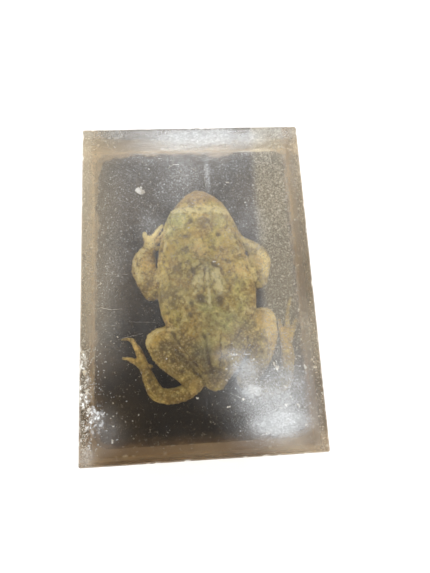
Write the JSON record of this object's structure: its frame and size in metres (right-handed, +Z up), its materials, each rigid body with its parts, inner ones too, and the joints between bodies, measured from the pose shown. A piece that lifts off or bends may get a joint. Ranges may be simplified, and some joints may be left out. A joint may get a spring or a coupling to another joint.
{
  "type": "frog in acrylic block",
  "caption": "Preserved frog, belly down with folded legs, cast inside a clear rectangular resin block that lies flat on a thin dark felt pad.",
  "frame": {"origin": "middle of the block's outline on the surface that it lies on, at the pad's underside", "axes": "+Z up out of the large clear face over the frog's back, +Y along the block towards the frog's snout, +X to the frog's right"},
  "size_m": [0.075, 0.11, 0.0265],
  "materials": {
    "clear_resin": "clear cast resin, polished, slightly yellowed, with fine scratches on its faces",
    "frog_skin": "preserved skin, olive brown with darker blotches, warty and matt",
    "dark_felt": "pressed felt, near black, matt"
  },
  "bodies": {
    "root": {"block_lower": "clear_resin", "block_upper": "clear_resin", "frog": "frog_skin", "felt_pad": "dark_felt"}
  },
  "joints": []
}
